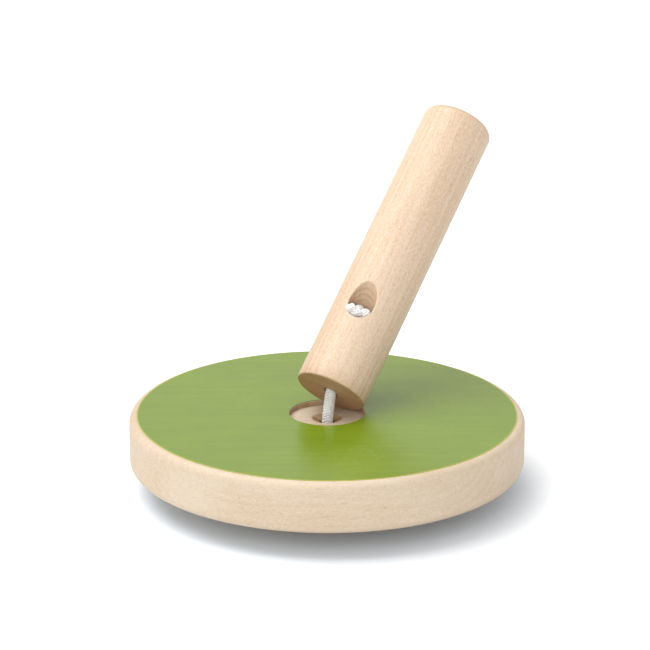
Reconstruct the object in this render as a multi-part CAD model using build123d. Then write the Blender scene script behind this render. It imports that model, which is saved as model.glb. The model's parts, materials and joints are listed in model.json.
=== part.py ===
from build123d import *
from math import cos, hypot, radians, sin, tan
import os

# A wooden spinning top. A thick disc, painted on its upper face, stands on a short turned foot.
# A round grip is tied to the middle of the disc by one cord, knotted at both ends. The grip
# stands upright in a shallow recess, or leans on the recess rim until the cord pulls tight.
# Millimetres, +Z up. The origin is on the disc's axis, at the face the foot stands on, and
# the grip leans towards +X.

# Disc
disc_diameter = 120.0
disc_thickness = 16.0
disc_top_round = 2.3
disc_bottom_round = 2.8
paint_thickness = 0.15
recess_depth = 1.6
web_thickness = 5.0
cord_sink_diameter = 9.6
cord_sink_depth = 1.2

# Foot: the shank is glued into the disc and the dome stands below it
foot_height = 8.0
foot_shank_diameter = 20.0
foot_shoulder_diameter = 28.0
foot_shoulder_edge = 1.0
foot_face_diameter = 19.0

# Grip
grip_diameter = 22.2
grip_length = 99.0
grip_top_round = 2.7
grip_end_round = 0.6
lean_angle = 45.5
knot_bore_diameter = 8.2
knot_bore_height = 28.0
knot_bore_slope = 47.5
knot_bore_turn = 197.4
knot_bore_edge_round = 0.25

# Cord and its knots
cord_diameter = 3.5
upper_knot_length = 6.4
upper_knot_depth = 6.1
lower_knot_diameter = 9.0
lower_knot_height = 5.0
knot_edge_round = 1.7
cord_bend_below = 1.0
cord_bend_above = 0.8
cord_radius_at_grip_end = 9.0
run_share = 0.45

# Clearances
seat_clearance = 0.45
glue_gap = 0.05
disc_hole_clearance = 0.6
grip_hole_clearance = 0.6
knot_bore_clearance = 0.1
pocket_clearance = 0.6
pocket_end_gap = 0.2
shank_end_gap = 0.1
floor_gap = 0.15
rim_gap = 0.1

# Radii and levels that follow from them
grip_radius = grip_diameter / 2
cord_radius = cord_diameter / 2
recess_radius = grip_radius + seat_clearance
disc_hole_radius = cord_radius + disc_hole_clearance
grip_hole_radius = cord_radius + grip_hole_clearance
shank_radius = foot_shank_diameter / 2
lower_knot_radius = lower_knot_diameter / 2
disc_top = foot_height + disc_thickness
recess_floor = disc_top - recess_depth
web_bottom = recess_floor - web_thickness


def grip_end_leaning():
    """Centre of the grip's lower end, x and z, with its edge in the recess and its side at the rim."""
    lean = radians(lean_angle)
    relief = grip_end_round * (sin(lean) + cos(lean) - 1)
    edge_z = floor_gap - relief
    rim_height = recess_depth + paint_thickness
    edge_x = recess_radius - (rim_gap + (rim_height - edge_z) * sin(lean)) / cos(lean)
    x = edge_x - grip_radius * cos(lean)
    z = edge_z + grip_radius * sin(lean)
    return x, recess_floor + z


def lean_pivot():
    """The point, x and z, that the grip turns about between leaning and seated upright."""
    leaning_x, leaning_z = grip_end_leaning()
    seated_x, seated_z = 0.0, recess_floor + floor_gap
    half_x = (leaning_x - seated_x) / 2
    half_z = (leaning_z - seated_z) / 2
    stretch = 1 / tan(radians(lean_angle) / 2)
    return seated_x + half_x + half_z * stretch, seated_z + half_z - half_x * stretch


end_x, end_z = grip_end_leaning()
pivot_x, pivot_z = lean_pivot()
lean_place = Pos(end_x, 0, end_z) * Rot(0, lean_angle, 0)

# Cord that the upright grip leaves over, which lets the lower knot drop in its pocket
knot_drop = hypot(end_x, end_z - recess_floor) - floor_gap
pocket_floor = web_bottom - lower_knot_height - knot_drop - pocket_end_gap

# The knot's bore runs from the grip's side down to its axis. Its frame's Z points out of the mouth.
bore_bottom = knot_bore_height - grip_radius * tan(radians(knot_bore_slope))
bore_length = grip_radius / cos(radians(knot_bore_slope))
bore_place = Pos(0, 0, bore_bottom) * Rot(0, 0, knot_bore_turn) * Rot(0, 90 - knot_bore_slope, 0)
upper_knot_start = bore_length - upper_knot_depth - upper_knot_length / 2


def upright(radius, low, high):
    """A cylinder on the Z axis between two levels."""
    return Pos(0, 0, low) * Cylinder(radius, high - low, align=(Align.CENTER, Align.CENTER, Align.MIN))


def wooden_disc():
    body = upright(disc_diameter / 2, foot_height, disc_top)
    body = fillet(body.edges().sort_by(Axis.Z)[-1], disc_top_round)
    body = fillet(body.edges().sort_by(Axis.Z)[0], disc_bottom_round)
    body -= upright(recess_radius, recess_floor, disc_top)
    body -= upright(shank_radius + glue_gap, foot_height, web_bottom)
    body -= upright(disc_hole_radius, web_bottom, recess_floor)
    on_top = (Align.CENTER, Align.CENTER, Align.MAX)
    sink = Cone(disc_hole_radius, cord_sink_diameter / 2, cord_sink_depth, align=on_top)
    return body - Pos(0, 0, recess_floor) * sink


def painted_face():
    """The coat of paint on the flat of the upper face, between the recess and the rounded edge."""
    paint_top = disc_top + paint_thickness
    coat = upright(disc_diameter / 2 - disc_top_round, disc_top, paint_top)
    return coat - upright(recess_radius, disc_top, paint_top)


def spinning_foot():
    shoulder = foot_shoulder_diameter / 2
    face = foot_face_diameter / 2
    edge_z = foot_height - foot_shoulder_edge
    dome = TangentArc((shoulder, edge_z), (face, 0), tangent=(0, -1))
    outline = Polyline((shoulder, edge_z), (shoulder, foot_height), (0, foot_height), (0, 0), (face, 0))
    body = revolve(Plane.XZ * make_face([dome, outline]), Axis.Z)
    body += upright(shank_radius, foot_height, web_bottom - shank_end_gap)
    return body - upright(lower_knot_radius + pocket_clearance, pocket_floor, web_bottom)


def grip():
    body = upright(grip_radius, 0, grip_length)
    body = fillet(body.edges().sort_by(Axis.Z)[-1], grip_top_round)
    body = fillet(body.edges().sort_by(Axis.Z)[0], grip_end_round)
    body -= upright(grip_hole_radius, 0, bore_bottom + cord_radius)
    body -= bore_place * upright(knot_bore_diameter / 2, 0, bore_length + grip_diameter)
    outlines = body.edges().filter_by(lambda edge: edge.geom_type not in (GeomType.CIRCLE, GeomType.LINE))
    mouth = outlines.sort_by(Axis.Z)[-1]
    return lean_place * fillet(mouth, knot_bore_edge_round)


def knot(radius, length):
    """The outer shape of a tight knot, standing on the XY plane."""
    body = upright(radius, 0, length)
    return fillet(body.edges().filter_by(GeomType.CIRCLE), knot_edge_round)


def upper_knot():
    radius = knot_bore_diameter / 2 - knot_bore_clearance
    return lean_place * bore_place * Pos(0, 0, upper_knot_start) * knot(radius, upper_knot_length)


def lower_knot():
    return Pos(0, 0, web_bottom - lower_knot_height) * knot(lower_knot_radius, lower_knot_height)


def cord_route():
    """The cord's corners: up through the disc, over to the grip's end, along its axis, out to the knot."""
    below_axis = cord_bend_above * cos(radians(knot_bore_slope))
    return [
        Vector(0, 0, web_bottom),
        Vector(0, 0, recess_floor - cord_bend_below),
        Vector(end_x, 0, end_z),
        (lean_place * Pos(0, 0, bore_bottom - cord_bend_above)).position,
        (lean_place * bore_place * Pos(below_axis, 0, upper_knot_start)).position,
    ]


def cord_radii(route):
    """The largest arc that each corner's two runs allow, and the tighter one at the grip's end."""
    radii = []
    for before, corner, after in zip(route, route[1:], route[2:]):
        turn = (corner - before).get_angle(after - corner)
        shorter = min((corner - before).length, (after - corner).length)
        radii.append(run_share * shorter / tan(radians(turn) / 2))
    radii[1] = min(radii[1], cord_radius_at_grip_end)
    return radii


def cord():
    route = cord_route()
    radii = cord_radii(route)
    path = FilletPolyline(*route, radius=radii)
    section = Plane(origin=route[0], z_dir=route[1] - route[0]) * Circle(cord_radius)
    tube = sweep(section, path)
    print("cord radii", [round(r, 1) for r in radii], "length", round(path.length, 2))
    print("cord volume", round(tube.volume, 2), "of", round(section.area * path.length, 2))
    return tube


parts = {
    "wooden_disc": wooden_disc,
    "painted_face": painted_face,
    "spinning_foot": spinning_foot,
    "grip": grip,
    "cord": cord,
    "upper_knot": upper_knot,
    "lower_knot": lower_knot,
}

os.makedirs("parts", exist_ok=True)
for name, make in parts.items():
    solid = make()
    solid.label = name
    export_step(solid, f"parts/{name}.step")

print("lean pivot", round(pivot_x, 3), round(pivot_z, 3), "lean angle", lean_angle)
print("grip end", round(end_x, 3), round(end_z, 3), "knot drop", round(knot_drop, 3))
print("pocket floor", round(pocket_floor, 2), "drop per radian", round(knot_drop / radians(lean_angle), 4))
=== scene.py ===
import json
import math
import random

import bpy
import numpy as np
from bpy.props import FloatProperty, FloatVectorProperty, IntProperty, PointerProperty
from mathutils import Matrix, Vector


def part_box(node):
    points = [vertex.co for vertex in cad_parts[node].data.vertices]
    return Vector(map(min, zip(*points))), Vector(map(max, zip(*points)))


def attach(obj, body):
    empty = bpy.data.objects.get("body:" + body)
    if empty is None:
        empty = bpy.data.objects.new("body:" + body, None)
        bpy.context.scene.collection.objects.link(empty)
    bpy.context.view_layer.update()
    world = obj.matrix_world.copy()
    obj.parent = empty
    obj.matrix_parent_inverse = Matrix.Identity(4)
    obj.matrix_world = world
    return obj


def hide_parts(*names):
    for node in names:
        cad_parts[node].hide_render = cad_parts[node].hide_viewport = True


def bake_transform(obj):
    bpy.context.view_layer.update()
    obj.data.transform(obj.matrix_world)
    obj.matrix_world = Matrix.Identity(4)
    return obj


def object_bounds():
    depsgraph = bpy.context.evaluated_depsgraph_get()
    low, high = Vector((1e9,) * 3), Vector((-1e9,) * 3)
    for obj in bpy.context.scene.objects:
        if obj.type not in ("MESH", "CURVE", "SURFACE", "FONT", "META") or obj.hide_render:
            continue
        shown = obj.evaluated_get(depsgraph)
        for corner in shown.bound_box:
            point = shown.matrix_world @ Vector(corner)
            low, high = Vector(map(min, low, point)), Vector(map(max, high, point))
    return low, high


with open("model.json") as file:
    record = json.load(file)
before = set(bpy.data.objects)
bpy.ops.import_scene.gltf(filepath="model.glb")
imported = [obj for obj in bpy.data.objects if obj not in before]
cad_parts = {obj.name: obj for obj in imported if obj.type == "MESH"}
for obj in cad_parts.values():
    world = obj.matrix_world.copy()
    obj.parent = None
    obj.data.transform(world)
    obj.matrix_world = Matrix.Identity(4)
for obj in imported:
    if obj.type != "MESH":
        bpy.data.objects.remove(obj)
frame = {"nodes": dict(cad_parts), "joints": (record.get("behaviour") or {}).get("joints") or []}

bl_info = {
    "name": "Spinning Top",
    "version": (1, 0, 0),
    "blender": (4, 5, 0),
    "location": "View3D > Sidebar > Spinning Top",
    "description": "A painted wooden spinning top with a grip tied to its middle by a knotted cord",
    "category": "Object",
}

# Metres, +Z up. The disc turns about the Z axis, the foot stands on Z = 0 and the grip leans
# towards +X. The solid nodes of the frame give every place that is not named here.
CAD_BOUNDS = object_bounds()

# The grip's lower end, and the lean that it has at rest
GRIP_END = Vector((0.001746, 0.0, 0.030219))
LEAN = -math.radians(next(j for j in frame["joints"] if j["name"] == "grip_lean")["range_deg"][0])

# The oblique hole for the upper knot: where it starts on the grip's axis, its turn and slope
BORE_START = 0.015887
BORE_TURN = math.radians(197.4)
BORE_SLOPE = math.radians(47.5)

GRIP_RADIUS = 0.0111

# Levels and radii in the disc: the underside of its web, the recess and the countersunk hole
WEB_BOTTOM = 0.0174
RECESS_FLOOR = 0.0224
RECESS_RADIUS = 0.01155
SINK_RADIUS = 0.0048

# Depth of the relief in the wood, the yarn and the paint
WOOD_RELIEF = 0.00003
YARN_RELIEF = 0.00006
PAINT_RELIEF = 0.00008

# The wood's pores, and where its pith lies from the piece's origin, across the grain
PORE_CONTRAST = 0.3
PITH_X = -0.052
PITH_Y = -0.017

# How far below the recess's floor and below the start of the oblique hole the cord bends, a point
# in the grip's bore that holds it straight, and where it enters the upper knot
CORD_BEND_BELOW = 0.001
CORD_BEND_ABOVE = 0.0008
BORE_STRAIGHT = 0.0045
KNOT_ENTRY_X = 0.00054
KNOT_ENTRY_Z = 0.0074

# The upper knot's two ends along the oblique hole, and half the thickness of the knotted cord
UPPER_KNOT_LOW = 0.00713
UPPER_KNOT_HIGH = 0.01353
KNOT_CORD_RADIUS = 0.00155

# The plaited meshes: length of a step along a yarn, and corners round it
PLAIT_STEP = 0.00022
YARN_CORNERS = 8

# Where the camera stands on the floor
CAMERA_X = -0.7852
CAMERA_Y = -0.5443

GRIP_PLACE = Matrix.Translation(GRIP_END) @ Matrix.Rotation(LEAN, 4, "Y")
BORE_PLACE = (
    GRIP_PLACE
    @ Matrix.Translation((0, 0, BORE_START))
    @ Matrix.Rotation(BORE_TURN, 4, "Z")
    @ Matrix.Rotation(math.pi / 2 - BORE_SLOPE, 4, "Y")
)


# ---------------------------------------------------------------- settings


class WoodSettings(bpy.types.PropertyGroup):
    pale: FloatVectorProperty(
        name="Pale wood", description="Colour of the early wood", subtype="COLOR", min=0, max=1,
        default=(0.598, 0.468, 0.350),
    )
    dark: FloatVectorProperty(
        name="Dark wood", description="Colour of the late wood and the streaks", subtype="COLOR",
        min=0, max=1, default=(0.44, 0.280, 0.150),
    )
    disc_tint: FloatVectorProperty(
        name="Disc's tint", description="What the disc's wood is multiplied by", subtype="COLOR",
        min=0, max=1, default=(0.93, 0.98, 1.0),
    )
    ring_spacing: FloatProperty(
        name="Ring spacing", description="Width of one year's ring", unit="LENGTH", min=0.0005,
        default=0.0029,
    )
    disc_grain: FloatProperty(
        name="Disc's grain", description="Direction of the disc's grain, from the side the grip leans to",
        subtype="ANGLE", default=math.radians(-55.4),
    )


class PaintSettings(bpy.types.PropertyGroup):
    colour: FloatVectorProperty(
        name="Paint", description="Colour of the disc's upper face", subtype="COLOR", min=0, max=1,
        default=(0.132, 0.206, 0.005),
    )
    edge_colour: FloatVectorProperty(
        name="Thin paint", description="Colour at the edge, where the coat thins over the wood",
        subtype="COLOR", min=0, max=1, default=(0.36, 0.36, 0.045),
    )
    edge_width: FloatProperty(
        name="Thin edge", description="Width over which the coat thins", unit="LENGTH", min=0, default=0.0005,
    )
    roughness: FloatProperty(
        name="Roughness", description="0 is a mirror, 1 is chalk", subtype="FACTOR", min=0, max=1,
        default=0.26,
    )


class CordSettings(bpy.types.PropertyGroup):
    colour: FloatVectorProperty(
        name="Yarn", description="Colour of the cord and its knots", subtype="COLOR", min=0, max=1,
        default=(0.70, 0.70, 0.68),
    )
    diameter: FloatProperty(
        name="Diameter", description="Thickness of the cord between its knots", unit="LENGTH", min=0.001,
        default=0.0035,
    )
    plait_length: FloatProperty(
        name="Plait length", description="Length in which one yarn goes once round the cord", unit="LENGTH",
        min=0.001, default=0.0048,
    )
    carriers: IntProperty(
        name="Yarns each way", description="Yarns that run round the cord in each direction", min=4, max=16,
        step=2, default=6,
    )


class StudioSettings(bpy.types.PropertyGroup):
    floor_colour: FloatVectorProperty(
        name="Floor", description="Colour of the floor", subtype="COLOR", min=0, max=1,
        default=(0.88, 0.89, 0.90),
    )
    # A painted cool tint for the floor in the disc's shadow, which cancels the warmth of the wood's bounce
    # light there
    shadow_cooling_colour: FloatVectorProperty(
        name="Floor at the disc", description="Colour under the disc, where the wood warms the light",
        subtype="COLOR", min=0, max=1, default=(0.80, 0.88, 0.97),
    )
    key_power: FloatProperty(
        name="Main light", description="Power of the large light above, on the left", unit="POWER", min=0,
        default=23.0,
    )
    fill_power: FloatProperty(
        name="Front light", description="Power of the soft light beside the camera", unit="POWER", min=0,
        default=3.8,
    )
    sky: FloatProperty(name="Surroundings", description="Light from the white room", min=0, default=0.86)
    camera_height: FloatProperty(
        name="Camera height", description="Height above the floor", unit="LENGTH", default=0.3697,
    )
    camera_turn: FloatProperty(
        name="Camera turn", description="Direction that the camera looks in, from +Y", subtype="ANGLE",
        default=math.radians(-55.228),
    )
    camera_roll: FloatProperty(
        name="Camera roll", description="Turn of the camera about its line of sight", subtype="ANGLE",
        default=math.radians(0.175),
    )
    camera_tilt: FloatProperty(
        name="Camera tilt", description="How far the camera looks down", subtype="ANGLE",
        default=math.radians(18.389),
    )
    lens: FloatProperty(
        name="Focal length", description="In millimetres, on a 36 mm wide sensor", min=10, default=185.41,
    )


# ---------------------------------------------------------------- shader helpers


def add(tree, kind, inputs=None, **settings):
    """A node, with its settings and its inputs, each a value or another node's output."""
    node = tree.nodes.new(kind)
    for name, value in settings.items():
        setattr(node, name, value)
    for key, value in (inputs or {}).items():
        if isinstance(value, bpy.types.NodeSocket):
            tree.links.new(value, node.inputs[key])
        else:
            node.inputs[key].default_value = value
    return node


def calc(tree, operation, first, second=0.0, clamp=False):
    node = add(tree, "ShaderNodeMath", {0: first, 1: second}, operation=operation, use_clamp=clamp)
    return node.outputs[0]


def ramp(tree, value, low, high, to_low=0.0, to_high=1.0):
    """A smooth step from to_low to to_high as value goes from low to high."""
    inputs = {"Value": value, "From Min": low, "From Max": high, "To Min": to_low, "To Max": to_high}
    return add(tree, "ShaderNodeMapRange", inputs, interpolation_type="SMOOTHSTEP").outputs["Result"]


def stretched(tree, vector, scale):
    node = add(tree, "ShaderNodeVectorMath", {0: vector, 1: scale}, operation="MULTIPLY")
    return node.outputs[0]


def noise(tree, vector, scale, detail=2.0, roughness=0.5):
    inputs = {"Vector": vector, "Scale": scale, "Detail": detail, "Roughness": roughness}
    return add(tree, "ShaderNodeTexNoise", inputs).outputs["Fac"]


def mixed(tree, share, first, second, blend="MIX"):
    """Two colours mixed. 6, 7 and 2 are the numbers of the Mix node's colour sockets."""
    inputs = {0: share, 6: first, 7: second}
    return add(tree, "ShaderNodeMix", inputs, data_type="RGBA", blend_type=blend).outputs[2]


def new_group(name, inputs, outputs):
    """An empty node group with named sockets: its tree, its inputs by name and its output node."""
    tree = bpy.data.node_groups.new(name, "ShaderNodeTree")
    for label, kind, default in inputs:
        socket = tree.interface.new_socket(label, in_out="INPUT", socket_type=kind)
        if default is not None:
            socket.default_value = default
    for label, kind in outputs:
        tree.interface.new_socket(label, in_out="OUTPUT", socket_type=kind)
    entry = tree.nodes.new("NodeGroupInput")
    exit_node = tree.nodes.new("NodeGroupOutput")
    return tree, entry.outputs, exit_node


def put(tree, group, inputs):
    """The outputs of a node group placed in the tree."""
    return add(tree, "ShaderNodeGroup", inputs, node_tree=group).outputs


def object_place(tree):
    return add(tree, "ShaderNodeTexCoord").outputs["Object"]


def height_of(tree, vector):
    return add(tree, "ShaderNodeSeparateXYZ", {0: vector}).outputs["Z"]


def turned(tree, vector, turn):
    mapping = add(tree, "ShaderNodeMapping", {"Vector": vector, "Rotation": turn.to_euler("XYZ")})
    return mapping.outputs[0]


def from_axis(tree, vector):
    """Distance from the Z axis."""
    parts = add(tree, "ShaderNodeSeparateXYZ", {0: vector}).outputs
    flat = add(tree, "ShaderNodeCombineXYZ", {"X": parts["X"], "Y": parts["Y"]}).outputs[0]
    return add(tree, "ShaderNodeVectorMath", {0: flat}, operation="LENGTH").outputs["Value"]


def opaque(colour):
    return (*colour, 1.0)


def wood_grain_group():
    """Wood whose grain runs along Z: rings round a pith outside the piece, fibres, streaks and pores."""
    name = "Wood grain"
    if name in bpy.data.node_groups:
        return bpy.data.node_groups[name]
    tree, given, out = new_group(
        name,
        [
            ("Vector", "NodeSocketVector", None),
            ("Pale", "NodeSocketColor", (0.6, 0.5, 0.4, 1)),
            ("Dark", "NodeSocketColor", (0.4, 0.3, 0.2, 1)),
            ("Ring Spacing", "NodeSocketFloat", 0.003),
            ("Ring Contrast", "NodeSocketFloat", 0.5),
            ("Fibre Contrast", "NodeSocketFloat", 0.5),
            ("Pore Contrast", "NodeSocketFloat", 0.5),
            ("End Grain And Shade", "NodeSocketFloat", 0.0),
        ],
        [
            ("Color", "NodeSocketColor"),
            ("Roughness", "NodeSocketFloat"),
            ("Height", "NodeSocketFloat"),
            ("Streaks", "NodeSocketFloat"),
        ],
    )
    vector = given["Vector"]
    wander = noise(tree, stretched(tree, vector, (1, 1, 0.12)), scale=30, detail=3)
    parts = add(tree, "ShaderNodeSeparateXYZ", {0: vector}).outputs
    from_pith_x = calc(tree, "SUBTRACT", parts["X"], PITH_X)
    from_pith_y = calc(tree, "SUBTRACT", parts["Y"], PITH_Y)
    square_x = calc(tree, "MULTIPLY", from_pith_x, from_pith_x)
    square_y = calc(tree, "MULTIPLY", from_pith_y, from_pith_y)
    squared = calc(tree, "ADD", square_x, square_y)
    reach = calc(tree, "ADD", calc(tree, "SQRT", squared), calc(tree, "MULTIPLY", wander, 0.008))
    phase = calc(tree, "DIVIDE", reach, given["Ring Spacing"])
    year = calc(tree, "FRACT", phase)
    year_strength = add(
        tree, "ShaderNodeTexWhiteNoise", {"W": calc(tree, "FLOOR", phase)}, noise_dimensions="1D"
    ).outputs["Value"]
    late = calc(tree, "MULTIPLY", ramp(tree, year, 0.25, 0.9), ramp(tree, year, 0.9, 1.0, 1.0, 0.0))
    rings = calc(tree, "MULTIPLY", late, calc(tree, "ADD", calc(tree, "MULTIPLY", year_strength, 0.8), 0.2))
    fibres = noise(tree, stretched(tree, vector, (1, 1, 0.36)), scale=2700, detail=3, roughness=0.72)
    streaks = noise(tree, stretched(tree, vector, (1, 1, 0.035)), scale=700, detail=3, roughness=0.6)
    tone = noise(tree, stretched(tree, vector, (1, 1, 0.25)), scale=48, detail=2)
    pores = add(
        tree, "ShaderNodeTexVoronoi", {"Vector": stretched(tree, vector, (1, 1, 0.17)), "Scale": 1250.0}
    ).outputs
    chance = add(tree, "ShaderNodeSeparateColor", {0: pores["Color"]}).outputs[0]
    pore_here = calc(tree, "GREATER_THAN", chance, 0.72)
    pore = calc(tree, "MULTIPLY", ramp(tree, pores["Distance"], 0.12, 0.34, 1.0, 0.0), pore_here)
    ring_contrast = calc(tree, "MULTIPLY", given["Ring Contrast"], calc(tree, "ADD", given["End Grain And Shade"], 1.0))
    share = calc(tree, "MULTIPLY", rings, ring_contrast)
    flecks = calc(tree, "MULTIPLY", calc(tree, "SUBTRACT", fibres, 0.5), 2.5)
    fine = calc(tree, "ADD", flecks, calc(tree, "SUBTRACT", streaks, 0.5))
    share = calc(tree, "ADD", share, calc(tree, "MULTIPLY", fine, given["Fibre Contrast"]))
    share = calc(tree, "ADD", share, calc(tree, "MULTIPLY", calc(tree, "SUBTRACT", tone, 0.5), 0.9))
    share = calc(tree, "ADD", share, calc(tree, "MULTIPLY", pore, given["Pore Contrast"]))
    share = calc(tree, "ADD", share, 0.26, clamp=True)
    face = mixed(tree, share, given["Pale"], given["Dark"])
    # A darker, browner tone: the real colour of soaked end grain, and painted shade where the masks for
    # holes, the recess and the grip's lower end ask for it
    darkening = mixed(tree, rings, (0.76, 0.62, 0.46, 1.0), (0.46, 0.32, 0.20, 1.0))
    soaked_and_shaded = mixed(tree, 1.0, face, darkening, "MULTIPLY")
    tree.links.new(mixed(tree, given["End Grain And Shade"], face, soaked_and_shaded), out.inputs["Color"])
    rough = calc(tree, "ADD", calc(tree, "MULTIPLY", fibres, 0.22), 0.47)
    tree.links.new(rough, out.inputs["Roughness"])
    height = calc(tree, "SUBTRACT", fibres, calc(tree, "MULTIPLY", pore, 0.6))
    height = calc(tree, "SUBTRACT", height, calc(tree, "MULTIPLY", rings, 0.3))
    tree.links.new(height, out.inputs["Height"])
    tree.links.new(streaks, out.inputs["Streaks"])
    return tree


def plaited_yarn_group():
    """Yarn with fine filaments along U and round V, a tone of its own for each yarn, and painted shade in the
    grooves between its plies.
    """
    name = "Plaited yarn"
    if name in bpy.data.node_groups:
        return bpy.data.node_groups[name]
    tree, given, out = new_group(
        name,
        [
            ("Vector", "NodeSocketVector", None),
            ("Tone", "NodeSocketFloat", 0.5),
            ("Colour", "NodeSocketColor", (0.7, 0.7, 0.7, 1)),
            ("Twist", "NodeSocketFloat", 900.0),
        ],
        [("Color", "NodeSocketColor"), ("Roughness", "NodeSocketFloat"), ("Height", "NodeSocketFloat")],
    )
    parts = add(tree, "ShaderNodeSeparateXYZ", {0: given["Vector"]}).outputs
    spun = calc(tree, "ADD", parts["Y"], calc(tree, "MULTIPLY", parts["X"], given["Twist"]))
    ply = calc(tree, "ABSOLUTE", calc(tree, "SINE", calc(tree, "MULTIPLY", spun, 5 * math.pi)))
    along = calc(tree, "MULTIPLY", parts["X"], 900)
    around = calc(tree, "MULTIPLY", spun, 9)
    place = add(tree, "ShaderNodeCombineXYZ", {"X": along, "Y": around}).outputs[0]
    lint = noise(tree, place, scale=1.0, detail=3, roughness=0.65)
    height = calc(tree, "ADD", calc(tree, "MULTIPLY", ply, 0.6), calc(tree, "MULTIPLY", lint, 0.6))
    dim = calc(tree, "MULTIPLY", calc(tree, "SUBTRACT", given["Tone"], 0.5), 0.16)
    # Painted shade: the yarn is darker where its relief is low, in the grooves between the plies
    dim = calc(tree, "ADD", dim, calc(tree, "MULTIPLY", calc(tree, "SUBTRACT", height, 0.6), 0.22))
    bright = calc(tree, "ADD", dim, 1.0)
    tone_and_groove_shade = add(tree, "ShaderNodeCombineColor", {0: bright, 1: bright, 2: bright}).outputs[0]
    tree.links.new(mixed(tree, 1.0, given["Colour"], tone_and_groove_shade, "MULTIPLY"), out.inputs["Color"])
    tree.links.new(calc(tree, "ADD", calc(tree, "MULTIPLY", lint, 0.15), 0.75), out.inputs["Roughness"])
    tree.links.new(height, out.inputs["Height"])
    return tree


def new_material(name):
    """A material with only a Principled shader: the material, its tree and its shader."""
    material = bpy.data.materials.new(name)
    material.use_nodes = True
    tree = material.node_tree
    tree.nodes.clear()
    shader = tree.nodes.new("ShaderNodeBsdfPrincipled")
    output = tree.nodes.new("ShaderNodeOutputMaterial")
    tree.links.new(shader.outputs[0], output.inputs["Surface"])
    return material, tree, shader


def in_grain(tree, turn, origin):
    """Object coordinates turned so that the piece's grain runs along Z."""
    inputs = {0: object_place(tree), 1: origin}
    moved = add(tree, "ShaderNodeVectorMath", inputs, operation="SUBTRACT").outputs[0]
    return turned(tree, moved, turn)


def end_grain(tree, turn):
    """1 where the surface cuts across the grain, 0 along it."""
    facing = add(tree, "ShaderNodeTexCoord").outputs["Normal"]
    along = calc(tree, "ABSOLUTE", height_of(tree, turned(tree, facing, turn)))
    return ramp(tree, along, 0.55, 0.95)


def connect(tree, shader, colour, roughness, height, relief, strength):
    """Give the shader a colour, a roughness and a relief."""
    bump = add(tree, "ShaderNodeBump", {"Height": height, "Distance": relief, "Strength": strength})
    tree.links.new(colour, shader.inputs["Base Color"])
    tree.links.new(roughness, shader.inputs["Roughness"])
    tree.links.new(bump.outputs[0], shader.inputs["Normal"])


def wood_material(name, settings, turn, origin, rings, spacing, fibres, ends, cut_and_shade=None, tint=(1, 1, 1)):
    """Wood whose grain turn brings to Z. ends darkens its end grain, and cut_and_shade darkens its drilled
    places and the places where shade is painted.
    """
    material, tree, shader = new_material(name)
    dark = calc(tree, "MULTIPLY", end_grain(tree, turn), ends)
    if cut_and_shade:
        dark = calc(tree, "MAXIMUM", dark, cut_and_shade(tree))
    grain = put(
        tree,
        wood_grain_group(),
        {
            "Vector": in_grain(tree, turn, origin),
            "Pale": opaque([c * t for c, t in zip(settings.pale, tint)]),
            "Dark": opaque([c * t for c, t in zip(settings.dark, tint)]),
            "Ring Spacing": spacing,
            "Ring Contrast": rings,
            "Fibre Contrast": fibres,
            "Pore Contrast": PORE_CONTRAST,
            "End Grain And Shade": dark,
        },
    )
    connect(tree, shader, grain["Color"], grain["Roughness"], grain["Height"], WOOD_RELIEF, 0.8)
    shader.inputs["Specular IOR Level"].default_value = 0.5
    return material


def yarn_material(settings):
    name = "Cord yarn"
    if name in bpy.data.materials:
        return bpy.data.materials[name]
    material, tree, shader = new_material(name)
    place = add(tree, "ShaderNodeUVMap", uv_map="Yarn")
    tone = add(tree, "ShaderNodeAttribute", attribute_name="yarn_tone")
    yarn = put(
        tree,
        plaited_yarn_group(),
        {"Vector": place.outputs[0], "Tone": tone.outputs["Fac"], "Colour": opaque(settings.colour)},
    )
    connect(tree, shader, yarn["Color"], yarn["Roughness"], yarn["Height"], YARN_RELIEF, 0.8)
    shader.inputs["Specular IOR Level"].default_value = 0.25
    shader.inputs["Sheen Weight"].default_value = 0.25
    shader.inputs["Sheen Roughness"].default_value = 0.5
    return material


def disc_grain(wood):
    """The turn that brings the disc's grain to Z, and the disc's middle."""
    along = Vector((math.cos(wood.disc_grain), math.sin(wood.disc_grain), 0))
    low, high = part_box("wooden_disc")
    return along.rotation_difference(Vector((0, 0, 1))).to_matrix(), (low + high) / 2


def use_material(piece, material):
    piece.data.materials.clear()
    piece.data.materials.append(material)


# ---------------------------------------------------------------- cord


def smooth_line(points):
    """Places along the smooth line that the route's points control."""
    curve = bpy.data.curves.new("route", "CURVE")
    curve.dimensions = "3D"
    curve.resolution_u = 32
    spline = curve.splines.new("NURBS")
    spline.points.add(len(points) - 1)
    for control, point in zip(spline.points, points):
        control.co = (*point, 1.0)
    spline.order_u = 3
    spline.use_endpoint_u = True
    holder = bpy.data.objects.new("route", curve)
    line = bpy.data.meshes.new_from_object(holder)
    places = np.array([v.co for v in line.vertices], float)
    bpy.data.meshes.remove(line)
    bpy.data.objects.remove(holder)
    bpy.data.curves.remove(curve)
    return places


def even_steps(places, step):
    """The line at even steps: how far along each is, its place, and two sides that don't twist."""
    runs = np.linalg.norm(np.diff(places, axis=0), axis=1)
    reach = np.concatenate([[0], np.cumsum(runs)])
    count = max(4, int(round(reach[-1] / step)))
    s = np.linspace(0, reach[-1], count + 1)
    centre = np.stack([np.interp(s, reach, places[:, i]) for i in range(3)], axis=1)
    ahead = np.gradient(centre, axis=0)
    ahead /= np.linalg.norm(ahead, axis=1)[:, None]
    side = np.zeros_like(centre)
    start = np.cross(ahead[0], (0.31, 0.95, 0.05))
    side[0] = start / np.linalg.norm(start)
    for i in range(1, len(s)):
        kept = side[i - 1] - ahead[i] * (side[i - 1] @ ahead[i])
        side[i] = kept / np.linalg.norm(kept)
    return s, centre, side, np.cross(ahead, side)


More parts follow.
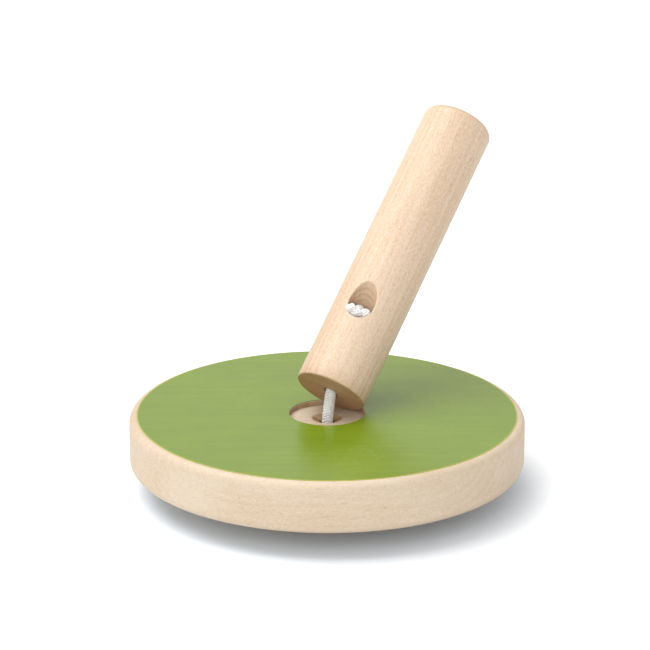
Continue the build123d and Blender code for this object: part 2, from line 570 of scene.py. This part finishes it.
def tube(centre, across, outward, half_width, half_height):
    """Corner places of a closed tube: rings about the centre, with a middle point at each end."""
    angles = np.linspace(0, 2 * math.pi, YARN_CORNERS, endpoint=False)
    wide = np.cos(angles)[None, :, None] * across[:, None, :] * half_width
    high = np.sin(angles)[None, :, None] * outward[:, None, :] * half_height
    rings = centre[:, None, :] + wide + high
    return np.concatenate([rings.reshape(-1, 3), centre[:1], centre[-1:]])


def tube_faces(rows, first):
    """Faces of a tube whose corners start at first: its side, then a fan at each end."""
    faces = []
    for i in range(rows - 1):
        for k in range(YARN_CORNERS):
            a = first + i * YARN_CORNERS + k
            b = first + i * YARN_CORNERS + (k + 1) % YARN_CORNERS
            faces.append((a, b, b + YARN_CORNERS, a + YARN_CORNERS))
    low_middle = first + rows * YARN_CORNERS
    last_ring = low_middle - YARN_CORNERS
    for k in range(YARN_CORNERS):
        after = (k + 1) % YARN_CORNERS
        faces.append((low_middle, first + after, first + k))
        faces.append((low_middle + 1, last_ring + k, last_ring + after))
    return faces


def plait(name, places, radius, plait_length, carriers, seed):
    """A plaited cord along a line: yarns round a core, both ways, two over and two under."""
    s, centre, side, other = even_steps(places, PLAIT_STEP)
    ring = 2 * math.pi / carriers
    thick = radius * 0.15
    weave = radius * 0.08
    under = radius * 0.07
    middle = radius - thick - weave
    lay = math.atan2(2 * math.pi * middle, plait_length)
    wide = plait_length / carriers * math.sin(lay) * 0.56
    random.seed(seed)
    corners, faces, uvs, tones = [], [], [], []
    total = 0

    def keep(points, along, tone):
        """Add one tube, with U along it and V round it."""
        nonlocal total
        corners.append(points)
        rows = len(along)
        low_middle = rows * YARN_CORNERS
        for face in tube_faces(rows, total):
            faces.append(face)
            own = [corner - total for corner in face]
            at_seam = any(c < low_middle and c % YARN_CORNERS == YARN_CORNERS - 1 for c in own)
            for corner in own:
                if corner >= low_middle:
                    uvs.append((along[0] if corner == low_middle else along[-1], 0.5))
                    continue
                row, k = divmod(corner, YARN_CORNERS)
                uvs.append((along[row], 1.0 if at_seam and k == 0 else k / YARN_CORNERS))
        tones.extend([tone] * len(points))
        total += len(points)

    for way in (1, -1):
        for k in range(carriers):
            angle = ring * k + way * 2 * math.pi * s / plait_length
            crossing = 2 * carriers * s / plait_length
            turn = crossing + 2 * k if way == 1 else 2 * k - crossing
            lift = way * weave * np.cos(math.pi / 2 * (turn - 0.5)) + (way - 1) / 2 * under
            outward = np.cos(angle)[:, None] * side + np.sin(angle)[:, None] * other
            line = centre + outward * (middle + lift)[:, None]
            heading = np.gradient(line, axis=0)
            heading /= np.linalg.norm(heading, axis=1)[:, None]
            across = np.cross(heading, outward)
            across /= np.linalg.norm(across, axis=1)[:, None]
            up = np.cross(across, heading)
            keep(tube(line, across, up, wide, thick * 1.15), s / math.cos(lay), random.random())
    core = middle - thick * 0.15
    keep(tube(centre, side, other, core, core), s, 0.0)
    mesh = bpy.data.meshes.new(name)
    mesh.from_pydata(np.concatenate(corners).tolist(), [], faces)
    layer = mesh.uv_layers.new(name="Yarn")
    layer.data.foreach_set("uv", np.array(uvs, np.float32).ravel())
    tone_layer = mesh.attributes.new("yarn_tone", "FLOAT", "POINT")
    tone_layer.data.foreach_set("value", np.array(tones, np.float32))
    mesh.polygons.foreach_set("use_smooth", [True] * len(mesh.polygons))
    mesh.update()
    piece = bpy.data.objects.new(name, mesh)
    bpy.context.scene.collection.objects.link(piece)
    return piece


def overhand(radius, height, turn, lead_in, tail):
    """Route of a tight overhand knot about the Z axis, from its lead-in to its tail."""
    scale = (radius - KNOT_CORD_RADIUS) / 3
    lift = height / 2 - KNOT_CORD_RADIUS
    steps = np.linspace(math.radians(66), math.radians(366), 26)
    x = (np.sin(steps) + 2 * np.sin(2 * steps)) * scale
    y = (np.cos(steps) - 2 * np.cos(2 * steps)) * scale
    z = -np.sin(3 * steps) * lift
    c, s = math.cos(turn), math.sin(turn)
    loop = np.stack([x * c - y * s, x * s + y * c, z + height / 2], axis=1)
    return np.concatenate([np.array(lead_in, float), loop, np.array(tail, float)])


# ---------------------------------------------------------------- operators


def recess_marks_and_shade(tree):
    """Painted shade in the countersunk hole for the cord and on the recess's wall, and the turning grooves on
    the recess's floor.
    """
    place = object_place(tree)
    height = height_of(tree, place)
    reach = from_axis(tree, place)
    # Painted shade down in the countersunk hole for the cord
    inside = ramp(tree, reach, SINK_RADIUS - 0.0004, SINK_RADIUS + 0.0001, 1.0, 0.0)
    below = ramp(tree, height, RECESS_FLOOR - 0.0003, RECESS_FLOOR, 1.0, 0.35)
    darkening = calc(tree, "MULTIPLY", inside, below)
    circles = add(tree, "ShaderNodeCombineXYZ", {"X": reach}).outputs[0]
    grooves = ramp(tree, noise(tree, circles, scale=2200, detail=2, roughness=0.6), 0.5, 0.75, 0.0, 0.5)
    # Painted shade on the recess's wall and in its corner with the floor
    edge = ramp(tree, reach, RECESS_RADIUS - 0.0002, RECESS_RADIUS - 0.0001, 0.0, 0.9)
    grooves_and_wall_shade = calc(tree, "MAXIMUM", grooves, edge)
    below_rim = ramp(tree, height, RECESS_FLOOR + 0.0012, RECESS_FLOOR + 0.0014, 1.0, 0.0)
    within = ramp(tree, reach, RECESS_RADIUS + 0.0002, RECESS_RADIUS + 0.0004, 1.0, 0.0)
    in_recess = calc(tree, "MULTIPLY", below_rim, within)
    return calc(tree, "MAXIMUM", darkening, calc(tree, "MULTIPLY", grooves_and_wall_shade, in_recess))


class SPINNING_TOP_OT_disc(bpy.types.Operator):
    """Finish the turned disc in bare wood"""

    bl_idname = "spinning_top.disc"
    bl_label = "Turned disc"

    def execute(self, context):
        wood = context.scene.top_wood
        turn, middle = disc_grain(wood)
        disc = frame["nodes"]["wooden_disc"]
        material = wood_material(
            "Disc wood", wood, turn, middle, rings=0.12, spacing=wood.ring_spacing, fibres=0.55, ends=0.0,
            cut_and_shade=recess_marks_and_shade, tint=wood.disc_tint,
        )
        use_material(disc, material)
        return {"FINISHED"}


class SPINNING_TOP_OT_paint(bpy.types.Operator):
    """Finish the coat of paint on the disc's upper face"""

    bl_idname = "spinning_top.paint"
    bl_label = "Painted face"

    def execute(self, context):
        paint, wood = context.scene.top_paint, context.scene.top_wood
        coat = frame["nodes"]["painted_face"]
        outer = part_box("painted_face")[1].x
        material, tree, shader = new_material("Green paint")
        vector = in_grain(tree, *disc_grain(wood))
        grain = put(tree, wood_grain_group(), {"Vector": vector, "Ring Spacing": wood.ring_spacing})
        place = object_place(tree)
        thin = ramp(tree, from_axis(tree, place), outer - paint.edge_width, outer - 0.0001)
        cloud = noise(tree, place, scale=60, detail=3)
        deep = opaque([c * 0.93 for c in paint.colour])
        light = opaque([c * 1.07 for c in paint.colour])
        streak = calc(tree, "ADD", cloud, calc(tree, "SUBTRACT", grain["Streaks"], 0.5))
        colour = mixed(tree, ramp(tree, streak, 0.2, 0.8), deep, light)
        colour = mixed(tree, thin, colour, opaque(paint.edge_colour))
        rough = calc(tree, "ADD", calc(tree, "MULTIPLY", cloud, 0.10), paint.roughness - 0.05)
        connect(tree, shader, colour, rough, grain["Streaks"], PAINT_RELIEF, 0.7)
        shader.inputs["Specular IOR Level"].default_value = 0.58
        shader.inputs["Specular Tint"].default_value = (1.0, 1.0, 0.62, 1.0)
        use_material(coat, material)
        return {"FINISHED"}


class SPINNING_TOP_OT_foot(bpy.types.Operator):
    """Finish the turned foot in bare wood"""

    bl_idname = "spinning_top.foot"
    bl_label = "Turned foot"

    def execute(self, context):
        wood = context.scene.top_wood
        foot = frame["nodes"]["spinning_foot"]
        origin = Vector((0.004, -0.003, 0))
        material = wood_material(
            "Foot wood", wood, Matrix.Identity(3), origin, rings=0.4, spacing=wood.ring_spacing, fibres=0.9,
            ends=0.8,
        )
        use_material(foot, material)
        return {"FINISHED"}


class SPINNING_TOP_OT_grip(bpy.types.Operator):
    """Finish the leaning grip in bare wood"""

    bl_idname = "spinning_top.grip"
    bl_label = "Grip"

    def execute(self, context):
        wood = context.scene.top_wood
        grip = frame["nodes"]["grip"]
        turn = Matrix.Rotation(math.radians(163.3), 3, "Z") @ GRIP_PLACE.to_3x3().transposed()

        def bores_and_end_shade(tree):
            """Darker wood inside the grip, and painted shade at its lower end, next to the disc."""
            place = in_grain(tree, turn, GRIP_END)
            reach = from_axis(tree, place)
            inside = ramp(tree, reach, GRIP_RADIUS - 0.0006, GRIP_RADIUS - 0.0002, 0.4, 0.0)
            # Painted shade: darker towards the grip's lower end, over its lowest 6 mm, next to the disc
            low_end_shade = ramp(tree, height_of(tree, place), 0.0, 0.006, 0.4, 0.0)
            return calc(tree, "MAXIMUM", inside, low_end_shade)

        material = wood_material(
            "Grip wood", wood, turn, GRIP_END, rings=0.3, spacing=0.0012, fibres=0.85, ends=1.0,
            cut_and_shade=bores_and_end_shade,
        )
        use_material(grip, material)
        return {"FINISHED"}


class SPINNING_TOP_OT_cord(bpy.types.Operator):
    """Plait the cord from under the disc's web to the knot in the grip"""

    bl_idname = "spinning_top.cord"
    bl_label = "Cord"

    def execute(self, context):
        cord = context.scene.top_cord
        bend = Vector((0, 0, RECESS_FLOOR - CORD_BEND_BELOW))
        route = [
            Vector((0, 0, WEB_BOTTOM)),
            bend,
            bend.lerp(GRIP_END, 0.5),
            GRIP_END,
            GRIP_PLACE @ Vector((0, 0, BORE_STRAIGHT)),
            GRIP_PLACE @ Vector((0, 0, BORE_START - CORD_BEND_ABOVE)),
            BORE_PLACE @ Vector((KNOT_ENTRY_X, 0, KNOT_ENTRY_Z)),
        ]
        piece = plait(
            "plaited_cord", smooth_line(route), cord.diameter / 2, cord.plait_length, cord.carriers, seed=3
        )
        use_material(piece, yarn_material(cord))
        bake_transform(piece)
        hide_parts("cord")
        return {"FINISHED"}


class SPINNING_TOP_OT_knots(bpy.types.Operator):
    """Tie the knot in the grip's hole and the knot under the disc"""

    bl_idname = "spinning_top.knots"
    bl_label = "Knots"

    def execute(self, context):
        cord = context.scene.top_cord
        self.tie_upper(cord)
        self.tie_lower(cord)
        return {"FINISHED"}

    def tie(self, name, places, cord, seed):
        line = smooth_line(places)
        knot = plait(name, line, KNOT_CORD_RADIUS, cord.plait_length, cord.carriers, seed)
        use_material(knot, yarn_material(cord))
        return knot

    def tie_upper(self, cord):
        route = overhand(
            0.0040, UPPER_KNOT_HIGH - UPPER_KNOT_LOW, math.radians(40),
            lead_in=[(KNOT_ENTRY_X, 0, -0.0004)],
            tail=[(0.0018, -0.0022, 0.0050), (0.0023, -0.0028, 0.0064)],
        )
        route[:, 2] += UPPER_KNOT_LOW
        knot = self.tie("upper_overhand_knot", [BORE_PLACE @ Vector(p) for p in route], cord, seed=5)
        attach(knot, "grip")
        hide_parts("upper_knot")

    def tie_lower(self, cord):
        low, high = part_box("lower_knot")
        route = overhand(
            high.x, high.z - low.z, 0.0,
            lead_in=[(0, 0, high.z - low.z + 0.002)], tail=[(0.001, -0.002, 0.0012)],
        )
        route[:, 2] += low.z
        knot = self.tie("lower_overhand_knot", [Vector(p) for p in route], cord, seed=7)
        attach(knot, "lower_knot")
        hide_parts("lower_knot")


def area_light(name, place, aim, size, power):
    """A round light that faces the point it aims at."""
    lamp = bpy.data.lights.new(name, "AREA")
    lamp.shape = "DISK"
    lamp.size = size
    lamp.energy = power
    light = bpy.data.objects.new(name, lamp)
    light.location = place
    light.rotation_mode = "QUATERNION"
    light.rotation_quaternion = (Vector(aim) - Vector(place)).to_track_quat("-Z", "Y")
    bpy.context.scene.collection.objects.link(light)


class SPINNING_TOP_OT_stage(bpy.types.Operator):
    """Lay the floor, light it softly and set up the camera"""

    bl_idname = "spinning_top.stage"
    bl_label = "Floor, lights and camera"

    def execute(self, context):
        studio = context.scene.top_studio
        self.lay_floor(studio)
        self.light(context, studio)
        self.set_camera(context, studio)
        return {"FINISHED"}

    def lay_floor(self, studio):
        half = 4.0
        mesh = bpy.data.meshes.new("floor")
        corners = [(-half, -half, 0), (half, -half, 0), (half, half, 0), (-half, half, 0)]
        mesh.from_pydata(corners, [], [(0, 1, 2, 3)])
        floor = bpy.data.objects.new("floor", mesh)
        bpy.context.scene.collection.objects.link(floor)
        material, tree, shader = new_material("Pale floor")
        # A painted cool tint in the disc's shadow, against the warmth of the wood's bounce light there, ends
        # round the disc's rim, and the far floor fades into the white room
        reach = from_axis(tree, object_place(tree))
        shadow_tint_share = ramp(tree, reach, 0.048, 0.074, 1.0, 0.0)
        tint = mixed(tree, shadow_tint_share, opaque(studio.floor_colour), opaque(studio.shadow_cooling_colour))
        far_glow = ramp(tree, reach, 0.25, 0.9, 0.0, 0.32)
        tree.links.new(tint, shader.inputs["Base Color"])
        shader.inputs["Emission Color"].default_value = (1.0, 1.0, 1.0, 1.0)
        tree.links.new(far_glow, shader.inputs["Emission Strength"])
        shader.inputs["Roughness"].default_value = 0.8
        shader.inputs["Specular IOR Level"].default_value = 0.1
        floor.data.materials.append(material)

    def light(self, context, studio):
        world = bpy.data.worlds.new("White room")
        world.use_nodes = True
        tree = world.node_tree
        tree.nodes.clear()
        seen = add(tree, "ShaderNodeLightPath").outputs["Is Camera Ray"]
        strength = calc(tree, "MAXIMUM", seen, studio.sky)
        sky = add(tree, "ShaderNodeBackground", {"Color": (1, 1, 1, 1), "Strength": strength})
        add(tree, "ShaderNodeOutputWorld", {"Surface": sky.outputs[0]})
        context.scene.world = world
        turn = studio.camera_turn
        ahead = Vector((-math.sin(turn), math.cos(turn), 0))
        right = Vector((ahead.y, -ahead.x, 0))
        middle = (CAD_BOUNDS[0] + CAD_BOUNDS[1]) / 2
        key = middle - right * 0.62 + ahead * 0.15 + Vector((0, 0, 1.4))
        area_light("key_light", key, aim=middle, size=1.5, power=studio.key_power)
        fill = middle - right * 0.2 - ahead * 0.95 + Vector((0, 0, 0.42))
        area_light("fill_light", fill, aim=middle, size=0.9, power=studio.fill_power)
        context.scene.view_settings.view_transform = "Standard"

    def set_camera(self, context, studio):
        data = bpy.data.cameras.new("camera")
        data.sensor_width = 36.0
        data.lens = studio.lens
        camera = bpy.data.objects.new("camera", data)
        camera.location = (CAMERA_X, CAMERA_Y, studio.camera_height)
        camera.rotation_euler = (math.pi / 2 - studio.camera_tilt, 0, studio.camera_turn)
        camera.rotation_euler.rotate_axis("Z", studio.camera_roll)
        context.scene.collection.objects.link(camera)
        context.scene.camera = camera


class VIEW3D_PT_spinning_top(bpy.types.Panel):
    """The spinning top's settings and its pieces"""

    bl_label = "Spinning Top"
    bl_space_type = "VIEW_3D"
    bl_region_type = "UI"
    bl_category = "Spinning Top"

    def draw(self, context):
        for title, settings, operators in SECTIONS:
            box = self.layout.box()
            box.label(text=title)
            group = getattr(context.scene, settings)
            for name in group.__annotations__:
                box.prop(group, name)
            for operator in operators:
                box.operator(operator.bl_idname)


SECTIONS = (
    ("Wood", "top_wood", (SPINNING_TOP_OT_disc, SPINNING_TOP_OT_foot, SPINNING_TOP_OT_grip)),
    ("Paint", "top_paint", (SPINNING_TOP_OT_paint,)),
    ("Cord", "top_cord", (SPINNING_TOP_OT_cord, SPINNING_TOP_OT_knots)),
    ("Studio", "top_studio", (SPINNING_TOP_OT_stage,)),
)

SETTINGS = {
    "top_wood": WoodSettings,
    "top_paint": PaintSettings,
    "top_cord": CordSettings,
    "top_studio": StudioSettings,
}

OPERATORS = tuple(operator for _, _, operators in SECTIONS for operator in operators)


def register():
    for settings in SETTINGS.values():
        bpy.utils.register_class(settings)
    for name, settings in SETTINGS.items():
        setattr(bpy.types.Scene, name, PointerProperty(type=settings))
    for operator in OPERATORS:
        bpy.utils.register_class(operator)
    bpy.utils.register_class(VIEW3D_PT_spinning_top)


def unregister():
    bpy.utils.unregister_class(VIEW3D_PT_spinning_top)
    for operator in reversed(OPERATORS):
        bpy.utils.unregister_class(operator)
    for name, settings in SETTINGS.items():
        delattr(bpy.types.Scene, name)
        bpy.utils.unregister_class(settings)


def main():
    register()
    bpy.ops.spinning_top.stage()
    bpy.ops.spinning_top.cord()
    bpy.ops.spinning_top.knots()
    bpy.ops.spinning_top.disc()
    bpy.ops.spinning_top.paint()
    bpy.ops.spinning_top.foot()
    bpy.ops.spinning_top.grip()


if __name__ == "__main__":
    main()
